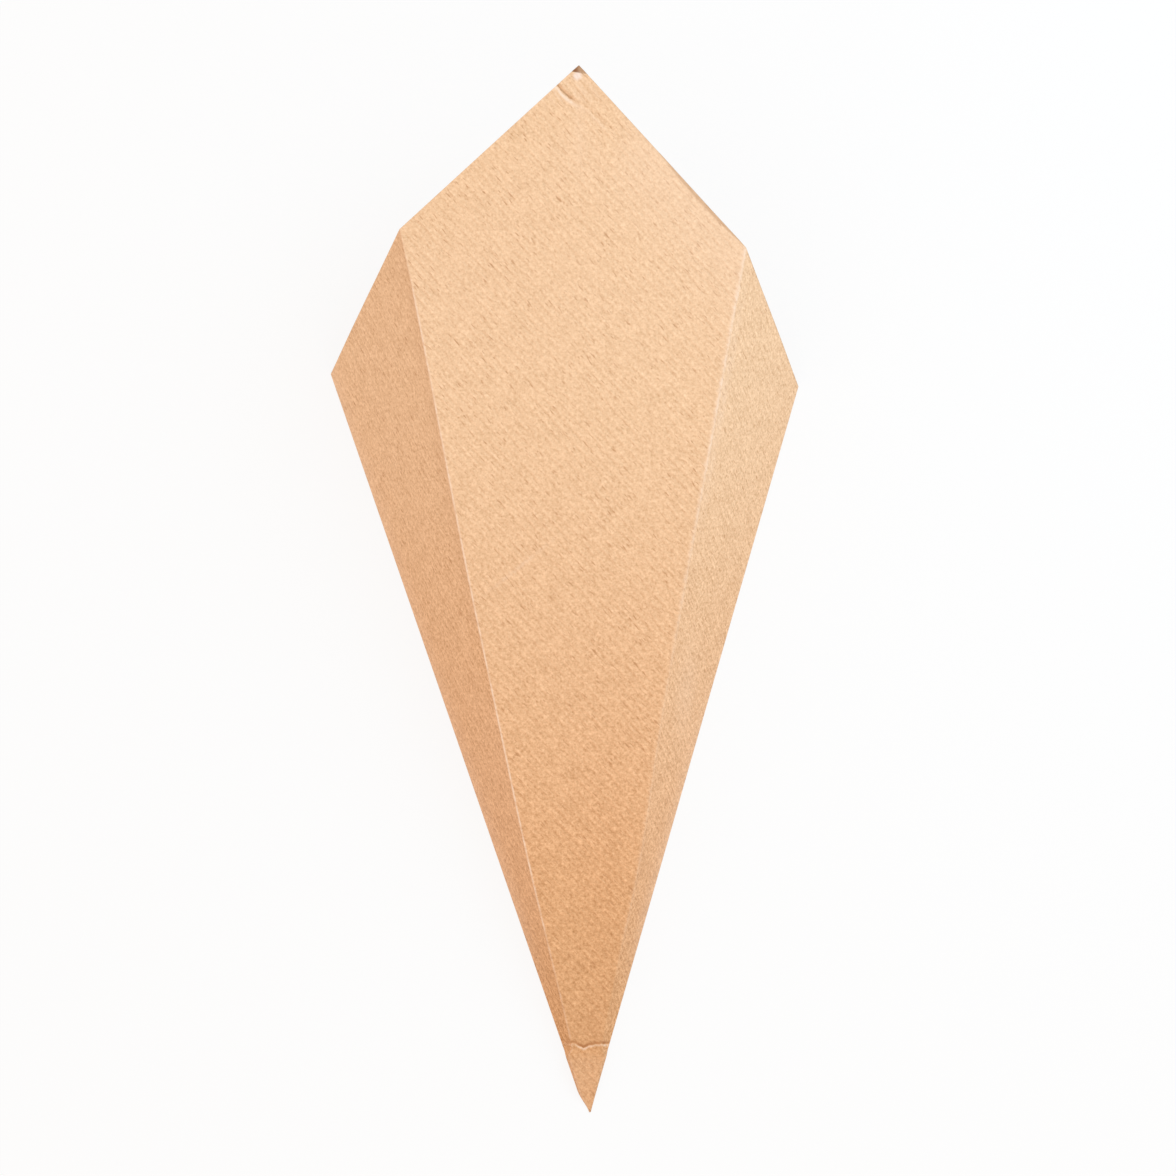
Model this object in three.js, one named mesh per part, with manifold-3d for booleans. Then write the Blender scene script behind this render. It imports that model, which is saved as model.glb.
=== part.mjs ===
// A cone-shaped paper bag, folded from one oblong sheet of kraft paper.
// Every fold runs from one corner of the sheet, which becomes the tip, so the opened bag is a
// four-sided pyramid. The opposite corner of the sheet stands up as the peak of the front, and
// the two flaps at the back lap over each other and are glued. The bag lies on its back, with
// +Y from the tip to the mouth and +Z up.

import * as THREE from "three";
import { mergeVertices } from "three/addons/utils/BufferGeometryUtils.js";
import { ConvexGeometry } from "three/addons/geometries/ConvexGeometry.js";
import Module from "manifold-3d";

// Driving dimensions: lengths in millimetres, angles in degrees

const sheetLength = 200; // edge of the sheet from the tip that ends the left flap
const sheetWidth = 180; // edge of the sheet from the tip that ends the right flap
const paperThickness = 0.15;

const frontLeftAngle = 11.42; // at the tip, from the sheet's diagonal to the left front crease
const frontRightAngle = 10.74; // from the diagonal to the right front crease
const leftSideAngle = 14.6; // left side panel, between its two folds
const rightSideAngle = 11.98; // right side panel, between its two folds
const lapAngle = 6.4; // glued lap of the two flaps
const openingReserve = 17.1; // how much further the left side panel could still be opened

const foldRadius = 0.35; // bend of the paper's middle layer at each fold
const foldSteps = 4; // flats that a bend is made of
const glueDepth = 0.02; // how far the lapped layers are pressed into each other

const tipBlunt = 2.3; // from the point where the folds would meet to the crushed tip
const tipPress = 2; // how far up between the walls the crushed tip reaches

const grooveReach = 19.5; // from the same point to the groove pressed across the tip
const grooveDepth = 0.3;
const grooveWidth = 1.1; // from the bottom of the groove to either brink
const grooveDip = 1.6; // how far its middle bends down towards the tip
const grooveSpan = 3.2; // half the width of that bend

const rowPitch = 13; // greatest distance between two rows of points
const frontColumns = 6; // strips between the front's diagonal and each of its creases

const degrees = Math.PI / 180;

// The flat sheet: the tip is at 0, 0 and angles are measured from the diagonal, left positive

const leftEdgeAngle = Math.atan2(sheetWidth, sheetLength) / degrees;
const rightEdgeAngle = leftEdgeAngle - 90;
const foldAngles = [
  frontLeftAngle + leftSideAngle,
  frontLeftAngle,
  -frontRightAngle,
  -frontRightAngle - rightSideAngle,
];
const backAngle = 90 - lapAngle - foldAngles[0] + foldAngles[3];

function sheetDirection(angle) {
  return new THREE.Vector2(-Math.sin(angle * degrees), Math.cos(angle * degrees));
}

const leftEdge = sheetDirection(leftEdgeAngle);
const rightEdge = sheetDirection(rightEdgeAngle);

// Distance along a line of the sheet, beside one of its rays, at which it meets the mouth's edge
function mouthDistance(ray, across, offset) {
  const toLeftCorner = (sheetLength - offset * across.dot(leftEdge)) / ray.dot(leftEdge);
  const toRightCorner = (sheetWidth - offset * across.dot(rightEdge)) / ray.dot(rightEdge);
  const reaches = [toLeftCorner, toRightCorner].filter((reach) => reach > 0);
  return Math.min(...reaches);
}

// The folded bag: directions of the four folds from the tip

function turned(from, towards, angle) {
  return from
    .clone()
    .multiplyScalar(Math.cos(angle * degrees))
    .addScaledVector(towards, Math.sin(angle * degrees));
}

function limitedAcos(cosine) {
  return Math.acos(THREE.MathUtils.clamp(cosine, -1, 1)) / degrees;
}

// Lean of the left side panel over the back at which the front and right panels come in line
function fullyOpenLean() {
  const frontAndRight = (frontLeftAngle + frontRightAngle + rightSideAngle) * degrees;
  const side = leftSideAngle * degrees;
  const back = backAngle * degrees;
  const spare = Math.cos(frontAndRight) - Math.cos(side) * Math.cos(back);
  return limitedAcos(spare / (Math.sin(side) * Math.sin(back)));
}

// Upper one of the two directions at given angles from two others
function meetingDirection(first, firstAngle, second, secondAngle) {
  const between = first.dot(second);
  const cosFirst = Math.cos(firstAngle * degrees);
  const cosSecond = Math.cos(secondAngle * degrees);
  const square = 1 - between * between;
  const alongFirst = (cosFirst - between * cosSecond) / square;
  const alongSecond = (cosSecond - between * cosFirst) / square;
  const inPlane = first.clone().multiplyScalar(alongFirst).addScaledVector(second, alongSecond);
  const upright = new THREE.Vector3().crossVectors(second, first).normalize();
  return inPlane.addScaledVector(upright, Math.sqrt(1 - inPlane.lengthSq()));
}

function foldDirections() {
  const half = (backAngle / 2) * degrees;
  const backLeft = new THREE.Vector3(-Math.sin(half), Math.cos(half), 0);
  const backRight = new THREE.Vector3(Math.sin(half), Math.cos(half), 0);
  const inwards = new THREE.Vector3(Math.cos(half), Math.sin(half), 0);
  const up = new THREE.Vector3(0, 0, 1);
  const leaning = turned(inwards, up, fullyOpenLean() - openingReserve);
  const frontLeft = turned(backLeft, leaning, leftSideAngle);
  const frontAngle = frontLeftAngle + frontRightAngle;
  const frontRight = meetingDirection(frontLeft, frontAngle, backRight, rightSideAngle);
  return [backLeft, frontLeft, frontRight, backRight];
}

const folds = foldDirections();

// Direction in the back's plane at an angle from one of its folds towards the other
function backDirection(from, towards, angle) {
  const across = towards.clone().addScaledVector(from, -towards.dot(from)).normalize();
  return turned(from, across, angle);
}

// Each panel runs between two rays, from the left flap's free edge round to the right flap's
const rays = [
  backDirection(folds[0], folds[3], leftEdgeAngle - foldAngles[0]),
  ...folds,
  backDirection(folds[3], folds[0], foldAngles[3] - rightEdgeAngle),
];
const rayAngles = [leftEdgeAngle, ...foldAngles, rightEdgeAngle];
const panels = rays.slice(1).map((right, index) => {
  const left = rays[index];
  const outwards = new THREE.Vector3().crossVectors(right, left).normalize();
  const across = right.clone().addScaledVector(left, -right.dot(left)).normalize();
  return { left, across, outwards, angle: rayAngles[index] };
});

// The two flaps lie on each other, so their middle layers are a paper's thickness apart
const rayLifts = [
  paperThickness / 2 - glueDepth,
  paperThickness / 2 - glueDepth,
  0,
  0,
  -paperThickness / 2,
  -paperThickness / 2,
];

function layerHeight(angle) {
  let index = 0;
  while (index < panels.length - 1 && angle < rayAngles[index + 1]) index += 1;
  const share = (rayAngles[index] - angle) / (rayAngles[index] - rayAngles[index + 1]);
  return paperThickness + THREE.MathUtils.lerp(rayLifts[index], rayLifts[index + 1], share);
}

// Depth of the groove across the tip, on the front and side panels
function groove(point) {
  const bend = grooveDip * Math.exp(-((point.x / grooveSpan) ** 2) * 2);
  const off = Math.abs(point.y - grooveReach + bend) / grooveWidth;
  const angle = Math.atan2(-point.x, point.y) / degrees;
  if (off >= 1 || angle > foldAngles[0] || angle < foldAngles[3]) return 0;
  const toFold = Math.min(foldAngles[0] - angle, angle - foldAngles[3]);
  const fade = THREE.MathUtils.smoothstep(toFold, 0, rightSideAngle / 2);
  return grooveDepth * fade * (0.5 + 0.5 * Math.cos(Math.PI * off));
}

// Place and outward direction of the paper's middle layer at one point of the flat sheet
function foldedPoint(point) {
  const angle = Math.atan2(-point.x, point.y) / degrees;
  const reach = point.length();
  let place;
  let outwards;
  const bend = bends.find((one) => Math.abs(one.offset(angle, reach)) < one.foot);
  if (bend) {
    const turn = (bend.offset(angle, reach) / bend.foot) * bend.halfTurn;
    outwards = bend.middle.clone().multiplyScalar(Math.cos(turn));
    outwards.addScaledVector(bend.sideways, Math.sin(turn));
    place = bend.direction.clone().multiplyScalar(bend.along(angle, reach));
    place.addScaledVector(bend.middle, -foldRadius / Math.cos(bend.halfTurn));
    place.addScaledVector(outwards, foldRadius);
  } else {
    const panel = panels.findLast((one) => angle <= one.angle + 1e-9) ?? panels[0];
    outwards = panel.outwards.clone();
    place = turned(panel.left, panel.across, panel.angle - angle).multiplyScalar(reach);
  }
  place.z += layerHeight(angle);
  place.addScaledVector(outwards, -groove(point));
  return { place, outwards };
}

// Rounded bend at each fold
const bends = folds.map((direction, index) => {
  const before = panels[index].outwards;
  const after = panels[index + 1].outwards;
  const halfTurn = before.angleTo(after) / 2;
  return {
    direction,
    halfTurn,
    foot: foldRadius * Math.tan(halfTurn),
    middle: before.clone().add(after).normalize(),
    sideways: after.clone().sub(before).normalize(),
    offset: (angle, reach) => reach * Math.sin((foldAngles[index] - angle) * degrees),
    along: (angle, reach) => reach * Math.cos((foldAngles[index] - angle) * degrees),
  };
});

// The walls start where the bends on both sides of the narrowest panel fit beside each other
const bendRoom = foldAngles.slice(1).map((angle, index) => {
  const width = Math.sin((foldAngles[index] - angle) * degrees);
  return (bends[index].foot + bends[index + 1].foot) / width;
});
const wallStart = tipBlunt + Math.max(...bendRoom) / 2;

// Columns of points run up the sheet, on a ray or beside it
function column(angle, offset = 0) {
  const ray = sheetDirection(angle);
  const across = new THREE.Vector2(ray.y, -ray.x);
  const end = mouthDistance(ray, across, offset);
  return rowDistances(end).map((distance) => {
    const point = ray.clone().multiplyScalar(distance).addScaledVector(across, offset);
    return foldedPoint(point);
  });
}

// Rows lie close together at the groove, and are spread evenly from there to the mouth
const plainReach = grooveReach + 2 * grooveWidth;
const grooveFoot = grooveReach - grooveDip - 2 * grooveWidth;
const grooveRows = Math.ceil((plainReach - grooveFoot) / (grooveWidth / 2));
const mouthRows = Math.ceil((Math.max(sheetLength, sheetWidth) - plainReach) / rowPitch);

function rowDistances(end) {
  const rows = [wallStart];
  for (let row = 0; row <= grooveRows; row += 1) {
    rows.push(THREE.MathUtils.lerp(grooveFoot, plainReach, row / grooveRows));
  }
  for (let row = 1; row <= mouthRows; row += 1) {
    rows.push(THREE.MathUtils.lerp(plainReach, end, row / mouthRows));
  }
  return rows;
}

function bendColumns(index) {
  const { foot } = bends[index];
  const columns = [];
  for (let step = 0; step <= foldSteps; step += 1) {
    const offset = THREE.MathUtils.lerp(-foot, foot, step / foldSteps);
    columns.push(column(foldAngles[index], offset));
  }
  return columns;
}

function spreadColumns(fromAngle, toAngle) {
  const columns = [];
  for (let step = 1; step < frontColumns; step += 1) {
    columns.push(column(THREE.MathUtils.lerp(fromAngle, toAngle, step / frontColumns)));
  }
  return columns;
}

// A strip of paper: a grid of points, thickened to both sides of its middle layer
function paperStrip(columns) {
  const rowCount = columns[0].length;
  const positions = [];
  for (const side of [1, -1]) {
    for (const line of columns) {
      for (const { place, outwards } of line) {
        const corner = place.clone().addScaledVector(outwards, (side * paperThickness) / 2);
        positions.push(corner.x, corner.y, corner.z);
      }
    }
  }
  const layer = columns.length * rowCount;
  const outer = (col, row) => col * rowCount + row;
  const inner = (col, row) => layer + outer(col, row);
  const faces = [];
  const quad = (a, b, c, d) => faces.push(a, b, c, a, c, d);
  const lastCol = columns.length - 1;
  const lastRow = rowCount - 1;
  for (let col = 0; col < lastCol; col += 1) {
    for (let row = 0; row < lastRow; row += 1) {
      quad(outer(col, row), outer(col + 1, row), outer(col + 1, row + 1), outer(col, row + 1));
      quad(inner(col, row), inner(col, row + 1), inner(col + 1, row + 1), inner(col + 1, row));
    }
    quad(inner(col, 0), inner(col + 1, 0), outer(col + 1, 0), outer(col, 0));
    quad(
      outer(col, lastRow),
      outer(col + 1, lastRow),
      inner(col + 1, lastRow),
      inner(col, lastRow),
    );
  }
  for (let row = 0; row < lastRow; row += 1) {
    quad(outer(0, row), outer(0, row + 1), inner(0, row + 1), inner(0, row));
    quad(
      outer(lastCol, row),
      inner(lastCol, row),
      inner(lastCol, row + 1),
      outer(lastCol, row + 1),
    );
  }
  const geometry = new THREE.BufferGeometry();
  geometry.setAttribute("position", new THREE.Float32BufferAttribute(positions, 3));
  geometry.setIndex(faces);
  return geometry;
}

// The ray of a side panel that leaves each of its two bends its share of the width
function jointAngle(index) {
  const share = bends[index].foot / (bends[index].foot + bends[index + 1].foot);
  return THREE.MathUtils.lerp(foldAngles[index], foldAngles[index + 1], share);
}

// The strips meet on the side panels and on the front's diagonal
function sheetStrips() {
  const leftMiddle = jointAngle(0);
  const rightMiddle = jointAngle(2);
  return [
    [column(leftEdgeAngle), ...bendColumns(0), column(leftMiddle)],
    [column(leftMiddle), ...bendColumns(1), ...spreadColumns(frontLeftAngle, 0), column(0)],
    [column(0), ...spreadColumns(0, -frontRightAngle), ...bendColumns(2), column(rightMiddle)],
    [column(rightMiddle), ...bendColumns(3), column(rightEdgeAngle)],
  ].map(paperStrip);
}

// The crushed tip, where the walls are pressed together
function pressedTip() {
  const corners = [];
  for (const reach of [tipBlunt, wallStart + tipPress]) {
    for (const angle of foldAngles) {
      const point = sheetDirection(angle).multiplyScalar(reach);
      corners.push(foldedPoint(point).place);
    }
  }
  return new ConvexGeometry(corners);
}

// Joining the strips into one sheet

const wasm = await Module();
wasm.setup();

function toSolid(geometry) {
  const bare = geometry.clone();
  bare.deleteAttribute("normal");
  bare.deleteAttribute("uv");
  const merged = mergeVertices(bare);
  return new wasm.Manifold(
    new wasm.Mesh({
      numProp: 3,
      vertProperties: new Float32Array(merged.attributes.position.array),
      triVerts: new Uint32Array(merged.index.array),
    }),
  );
}

function toGeometry(solid) {
  const { vertProperties, triVerts } = solid.getMesh();
  const geometry = new THREE.BufferGeometry();
  geometry.setAttribute("position", new THREE.BufferAttribute(vertProperties, 3));
  geometry.setIndex(new THREE.BufferAttribute(triVerts, 1));
  return geometry;
}

function foldedSheet() {
  const solids = [...sheetStrips(), pressedTip()].map(toSolid);
  const geometry = toGeometry(solids.reduce((whole, piece) => whole.add(piece)));
  geometry.computeBoundingBox();
  const { min, max } = geometry.boundingBox;
  geometry.translate(-(min.x + max.x) / 2, -(min.y + max.y) / 2, -min.z);
  geometry.computeVertexNormals();
  return geometry;
}

const kraftPaper = new THREE.MeshStandardMaterial({
  color: 0xe5b689,
  roughness: 0.9,
  metalness: 0,
});

const paperCone = new THREE.Mesh(foldedSheet(), kraftPaper);
paperCone.name = "paper_cone";

const bag = new THREE.Group();
bag.name = "paper_cone_bag";
bag.add(paperCone);

export default bag;
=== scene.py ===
"""A cone-shaped bag folded from one sheet of laid kraft paper, lying on its back.

The sheet is folded here by the same rule as the solid that it stands for, only in far finer
steps, and then gets what handling leaves in paper: bowed creases, sagging panels, a groove pressed
across the tip, a crumpled peak and a rolled edge. Lengths in this file are millimetres, and
angles degrees, until a mesh or a lamp is made.
"""

import logging
from dataclasses import dataclass, field
from enum import IntEnum
from functools import reduce
from typing import NamedTuple

import bpy
import numpy as np
from mathutils import Matrix, Vector


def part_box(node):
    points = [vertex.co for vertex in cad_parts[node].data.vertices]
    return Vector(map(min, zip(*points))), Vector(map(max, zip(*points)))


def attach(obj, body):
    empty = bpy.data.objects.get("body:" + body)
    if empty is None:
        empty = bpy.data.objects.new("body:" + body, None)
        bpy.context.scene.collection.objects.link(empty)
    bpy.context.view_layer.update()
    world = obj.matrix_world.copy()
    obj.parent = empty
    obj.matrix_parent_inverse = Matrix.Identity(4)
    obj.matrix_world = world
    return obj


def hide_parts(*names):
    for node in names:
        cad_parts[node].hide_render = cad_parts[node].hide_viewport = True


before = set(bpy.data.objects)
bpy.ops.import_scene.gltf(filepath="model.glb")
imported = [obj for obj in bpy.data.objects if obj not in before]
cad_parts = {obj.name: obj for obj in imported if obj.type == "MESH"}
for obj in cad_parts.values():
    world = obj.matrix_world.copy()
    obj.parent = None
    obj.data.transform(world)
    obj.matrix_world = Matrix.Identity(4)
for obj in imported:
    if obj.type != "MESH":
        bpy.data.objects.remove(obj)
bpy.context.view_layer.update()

Array = np.ndarray
Socket = bpy.types.NodeSocket
Colour = tuple[float, float, float, float]

log = logging.getLogger("paper_cone")
MM = 0.001


class Fold(IntEnum):
    """The four folds, in the order in which they go round the bag."""

    BACK_LEFT = 0
    FRONT_LEFT = 1
    FRONT_RIGHT = 2
    BACK_RIGHT = 3


def smooth_step(values: Array, low: float, high: float) -> Array:
    """Rises smoothly from 0 at low to 1 at high.

    Args:
        values: Numbers to grade.
        low: Value at which the result leaves 0.
        high: Value at which the result reaches 1.

    Returns:
        The graded numbers, each from 0 to 1.
    """
    share = np.clip((values - low) / (high - low), 0.0, 1.0)
    return share * share * (3.0 - 2.0 * share)


def bell(values: Array, middle: float, width: float) -> Array:
    """A bell curve that is 1 at its middle and about a third at one width from it."""
    return np.exp(-(((values - middle) / width) ** 2))


def unit(vectors: Array) -> Array:
    """Scales each vector to length 1."""
    return vectors / np.linalg.norm(vectors, axis=-1, keepdims=True)


def pick(rows: Array, index: Array) -> Array:
    """Takes one number of its row for each point."""
    return np.take_along_axis(rows, index[..., None], axis=-1)[..., 0]


def pick_vector(rows: Array, index: Array) -> Array:
    """Takes one vector of its row for each point."""
    return np.take_along_axis(rows, index[..., None, None], axis=-2)[..., 0, :]


def turned(start: Array, other: Array, degrees: Array) -> Array:
    """Directions at some degrees from a start, in its plane with another direction.

    Args:
        start: Directions at which the turn begins.
        other: Directions towards which it goes.
        degrees: How far it goes.

    Returns:
        The turned directions.
    """
    across = unit(other - start * np.sum(start * other, axis=-1, keepdims=True))
    turn = np.radians(degrees)[..., None]
    return start * np.cos(turn) + across * np.sin(turn)


@dataclass(frozen=True)
class SheetSizes:
    """The sheet of paper and its folds, in the same sizes as the solid."""

    left_edge: float = 200.0
    right_edge: float = 180.0
    paper: float = 0.15
    front_left: float = 11.42
    front_right: float = 10.74
    left_side: float = 14.6
    right_side: float = 11.98
    lap: float = 6.4
    opening_reserve: float = 17.1
    fold_radius: float = 0.35
    narrow_to: float = 6.0
    narrowest: float = 0.2
    tip_blunt: float = 2.3
    layer_gap: float = 0.01

    @property
    def left_edge_angle(self) -> float:
        """Angle at the tip from the sheet's diagonal to its left edge."""
        return float(np.degrees(np.arctan2(self.right_edge, self.left_edge)))

    @property
    def right_edge_angle(self) -> float:
        """Angle from the diagonal to the right edge, negative because it lies to the right."""
        return self.left_edge_angle - 90.0

    @property
    def fold_angles(self) -> Array:
        """Angles of the four folds from the diagonal, left positive."""
        left, right = self.front_left, -self.front_right
        return np.array([left + self.left_side, left, right, right - self.right_side])

    @property
    def back(self) -> float:
        """Angle at the tip of the back, which the two flaps make together."""
        folds = self.fold_angles
        return float(90.0 - self.lap - folds[0] + folds[3])

    @property
    def diagonal(self) -> float:
        """Length of the sheet from the tip to the peak."""
        return float(np.hypot(self.left_edge, self.right_edge))

    def mouth_reach(self, angles: Array) -> Array:
        """Distance from the tip to the sheet's far edge.

        Args:
            angles: Directions on the sheet, in degrees from its diagonal.

        Returns:
            The distance along each direction.
        """
        to_left = np.cos(np.radians(self.left_edge_angle - angles))
        to_right = np.cos(np.radians(angles - self.right_edge_angle))
        reaches = [
            np.where(cosine > 1e-6, edge / np.maximum(cosine, 1e-6), np.inf)
            for edge, cosine in ((self.left_edge, to_left), (self.right_edge, to_right))
        ]
        return np.minimum(*reaches)


class Spot(NamedTuple):
    """A point of the flat sheet."""

    across: float
    up: float


TIP_GROOVE = (
    Spot(-6.0, 19.6), Spot(-3.7, 19.85), Spot(-2.8, 19.65), Spot(-1.9, 19.0), Spot(-1.0, 18.6),
    Spot(0.0, 19.0), Spot(0.8, 19.33), Spot(2.4, 19.55), Spot(3.7, 19.6), Spot(6.2, 19.2),
)
PEAK_GROOVE = (
    Spot(-7.0, 265.6), Spot(-5.2, 263.6), Spot(-3.6, 261.7), Spot(-1.6, 260.2),
    Spot(0.4, 259.4), Spot(2.2, 258.0), Spot(7.1, 253.2),
)


def line_through(spots: tuple[Spot, ...], across: Array) -> Array:
    """Height on the sheet of a line drawn through a few points."""
    return np.interp(across, [spot.across for spot in spots], [spot.up for spot in spots])


class Span(NamedTuple):
    """A stretch over which something rises or fades."""

    start: float
    end: float


class Hump(NamedTuple):
    """Where something is strongest, and how far it spreads."""

    middle: float
    width: float


@dataclass(frozen=True)
class Handling:
    """What handling left in the paper; distances are measured on the flat sheet."""

    left_bow: float = 1.35
    left_bow_rise: Span = Span(10, 80)
    left_bow_fade: Span = Span(130, 225)
    right_bow: float = 1.1
    right_bow_place: Hump = Hump(68, 26)
    front_sag: float = 0.75
    front_sag_place: Hump = Hump(75, 48)
    peak_lift: float = 0.9
    peak_lift_rise: Span = Span(120, 215)
    peak_lift_fade: Span = Span(225, 268)
    left_swell: float = 0.7
    right_swell: float = 0.42
    swell_place: Hump = Hump(140, 60)

    groove_reach: float = 19.5
    groove_depth: float = 0.3
    groove_width: float = 0.38
    groove_lip: float = 0.45
    tip_spread_left: float = 4.6
    tip_spread_right: float = 3.6
    tip_spread_fade: Span = Span(-2.6, -0.4)
    tip_flatness: float = 0.06
    tip_flat_to: float = 9.0
    tip_pull: float = 1.15
    tip_pull_to: float = 8.0

    peak_groove_depth: float = 0.42
    peak_groove_width: float = 0.62
    peak_groove_ledge: float = 0.3
    peak_groove_rise: Span = Span(-12, -9)
    peak_groove_drop: Span = Span(-2.9, -0.6)
    peak_groove_fade: Span = Span(5.5, 8.5)
    peak_groove_rest: float = 0.22
    dog_ear: float = 2.0
    dog_ear_slant: float = 0.18
    dog_ear_turn: float = 0.5

    roll_from: float = 31.0
    roll_to: float = 62.5
    roll_width: float = 1.45
    roll_drop: float = 0.9

    cockle_height: float = 0.16
    cockle_size: float = 16.0
    cockle_margin: Span = Span(0.5, 9.0)
    cockle_rise: Span = Span(20.0, 60.0)
    cockle_fade: Span = Span(235.0, 262.0)


@dataclass(frozen=True)
class SheetPoints:
    """Points of the flat sheet, with the angles of the folds at their distance from the tip."""

    angles: Array
    reach: Array
    folds: Array

    @property
    def across(self) -> Array:
        """Distances from the sheet's diagonal, to the right."""
        return -self.reach * np.sin(np.radians(self.angles))

    @property
    def up(self) -> Array:
        """Distances from the tip along the diagonal."""
        return self.reach * np.cos(np.radians(self.angles))

    def turn(self, fold: Fold) -> Array:
        """Turn from a fold to the points, as seen from the tip, in radians to the right."""
        return np.radians(self.folds[..., fold] - self.angles)

    def from_edge(self, length: float, angle: float) -> Array:
        """Distances from a far edge, which lies square to the near edge at an angle."""
        turn = np.radians(angle)
        return length - self.up * np.cos(turn) + self.across * np.sin(turn)


class FoldedSheet:
    """Maps points of the flat sheet to their places on the folded bag."""

    def __init__(self, sizes: SheetSizes, handling: Handling) -> None:
        """Works out the fold directions for an opened bag.

        Args:
            sizes: The sheet and its folds.
            handling: The marks of use that bend the folds.
        """
        self.sizes = sizes
        self.handling = handling
        self.folds = self._fold_directions()

    def _fold_directions(self) -> Array:
        """Directions of the four folds from the tip, with the back in the floor's plane."""
        sizes = self.sizes
        half = np.radians(sizes.back / 2)
        side = np.radians(sizes.left_side)
        back = np.radians(sizes.back)
        front = np.radians(sizes.front_left + sizes.front_right)
        right = np.radians(sizes.right_side)
        back_left = np.array([-np.sin(half), np.cos(half), 0.0])
        back_right = np.array([np.sin(half), np.cos(half), 0.0])
        inwards = np.array([np.cos(half), np.sin(half), 0.0])
        upwards = np.array([0.0, 0.0, 1.0])
        spare = np.cos(front + right) - np.cos(side) * np.cos(back)
        widest = np.arccos(np.clip(spare / (np.sin(side) * np.sin(back)), -1.0, 1.0))
        lean = widest - np.radians(sizes.opening_reserve)
        across = inwards * np.cos(lean) + upwards * np.sin(lean)
        front_left = back_left * np.cos(side) + across * np.sin(side)
        between = front_left @ back_right
        along_left = (np.cos(front) - between * np.cos(right)) / (1 - between**2)
        along_right = (np.cos(right) - between * np.cos(front)) / (1 - between**2)
        in_plane = along_left * front_left + along_right * back_right
        upright = unit(np.cross(back_right, front_left))
        front_right = in_plane + upright * np.sqrt(1 - in_plane @ in_plane)
        return np.stack([back_left, front_left, front_right, back_right])

    @property
    def front_normal(self) -> Array:
        """Outward direction of the flat front panel."""
        return unit(np.cross(self.folds[Fold.FRONT_RIGHT], self.folds[Fold.FRONT_LEFT]))

    @property
    def diagonal_direction(self) -> Array:
        """Direction from the tip to the peak."""
        left, right = self.folds[Fold.FRONT_LEFT], self.folds[Fold.FRONT_RIGHT]
        return turned(left, right, self.sizes.front_left)

    def points(self, angles: Array, reach: Array) -> SheetPoints:
        """Points at given angles and distances, with the folds that they lie between."""
        return SheetPoints(angles, reach, self.fold_angles_at(reach))

    def fold_angles_at(self, reach: Array) -> Array:
        """Angles of the folds on the sheet, where handling has bowed the front creases.

        Args:
            reach: Distances from the tip.

        Returns:
            An array with one more axis of four angles.
        """
        handling = self.handling
        angles = np.broadcast_to(self.sizes.fold_angles, reach.shape + (4,)).copy()
        left = handling.left_bow * smooth_step(reach, *handling.left_bow_rise)
        left *= 1 - smooth_step(reach, *handling.left_bow_fade)
        right = handling.right_bow * bell(reach, *handling.right_bow_place)
        safe = np.maximum(reach, 1.0)
        spread = 1 - smooth_step(reach - handling.groove_reach, *handling.tip_spread_fade)
        angles[..., Fold.FRONT_LEFT] += np.degrees(left / safe) + handling.tip_spread_left * spread
        angles[..., Fold.FRONT_RIGHT] -= np.degrees(right / safe) + handling.tip_spread_right * spread
        return angles

    def _bag_rays(self, angles: Array) -> Array:
        """Directions of the folds, with the free edges of the left and right flap at the ends.

        Args:
            angles: Angles of the four folds; bowed creases stay in the front panel's plane.

        Returns:
            Six directions for each set of angles, from left to right.
        """
        rays = np.broadcast_to(self.folds, angles.shape + (3,)).copy()
        left, right = self.folds[Fold.FRONT_LEFT], self.folds[Fold.FRONT_RIGHT]
        for fold in (Fold.FRONT_LEFT, Fold.FRONT_RIGHT):
            turn = self.sizes.fold_angles[Fold.FRONT_LEFT] - angles[..., fold]
            rays[..., fold, :] = turned(left, right, turn)
        left, right = rays[..., Fold.BACK_LEFT, :], rays[..., Fold.BACK_RIGHT, :]
        left_flap = np.abs(self.sizes.left_edge_angle - angles[..., Fold.BACK_LEFT])
        right_flap = np.abs(self.sizes.right_edge_angle - angles[..., Fold.BACK_RIGHT])
        left_edge, right_edge = turned(left, right, left_flap), turned(right, left, right_flap)
        return np.concatenate([left_edge[..., None, :], rays, right_edge[..., None, :]], axis=-2)

    def feet(self, reach: Array) -> Array:
        """How far each bend reaches to both sides of its fold, narrowed towards the tip."""
        normals = self._panel_normals(self._bag_rays(self.fold_angles_at(reach)))
        turns = self._half_turns(normals)
        narrowing = np.clip(reach / self.sizes.narrow_to, self.sizes.narrowest, 1.0)[..., None]
        return self.sizes.fold_radius * np.tan(turns) * narrowing

    @staticmethod
    def _panel_normals(rays: Array) -> Array:
        """Outward directions of the five panels between six rays."""
        return unit(np.cross(rays[..., 1:, :], rays[..., :-1, :]))

    @staticmethod
    def _half_turns(normals: Array) -> Array:
        """Half of the angle that the paper turns through at each fold, in radians."""
        cosines = np.sum(normals[..., 1:, :] * normals[..., :-1, :], axis=-1)
        return np.arccos(np.clip(cosines, -1.0, 1.0)) / 2

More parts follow.
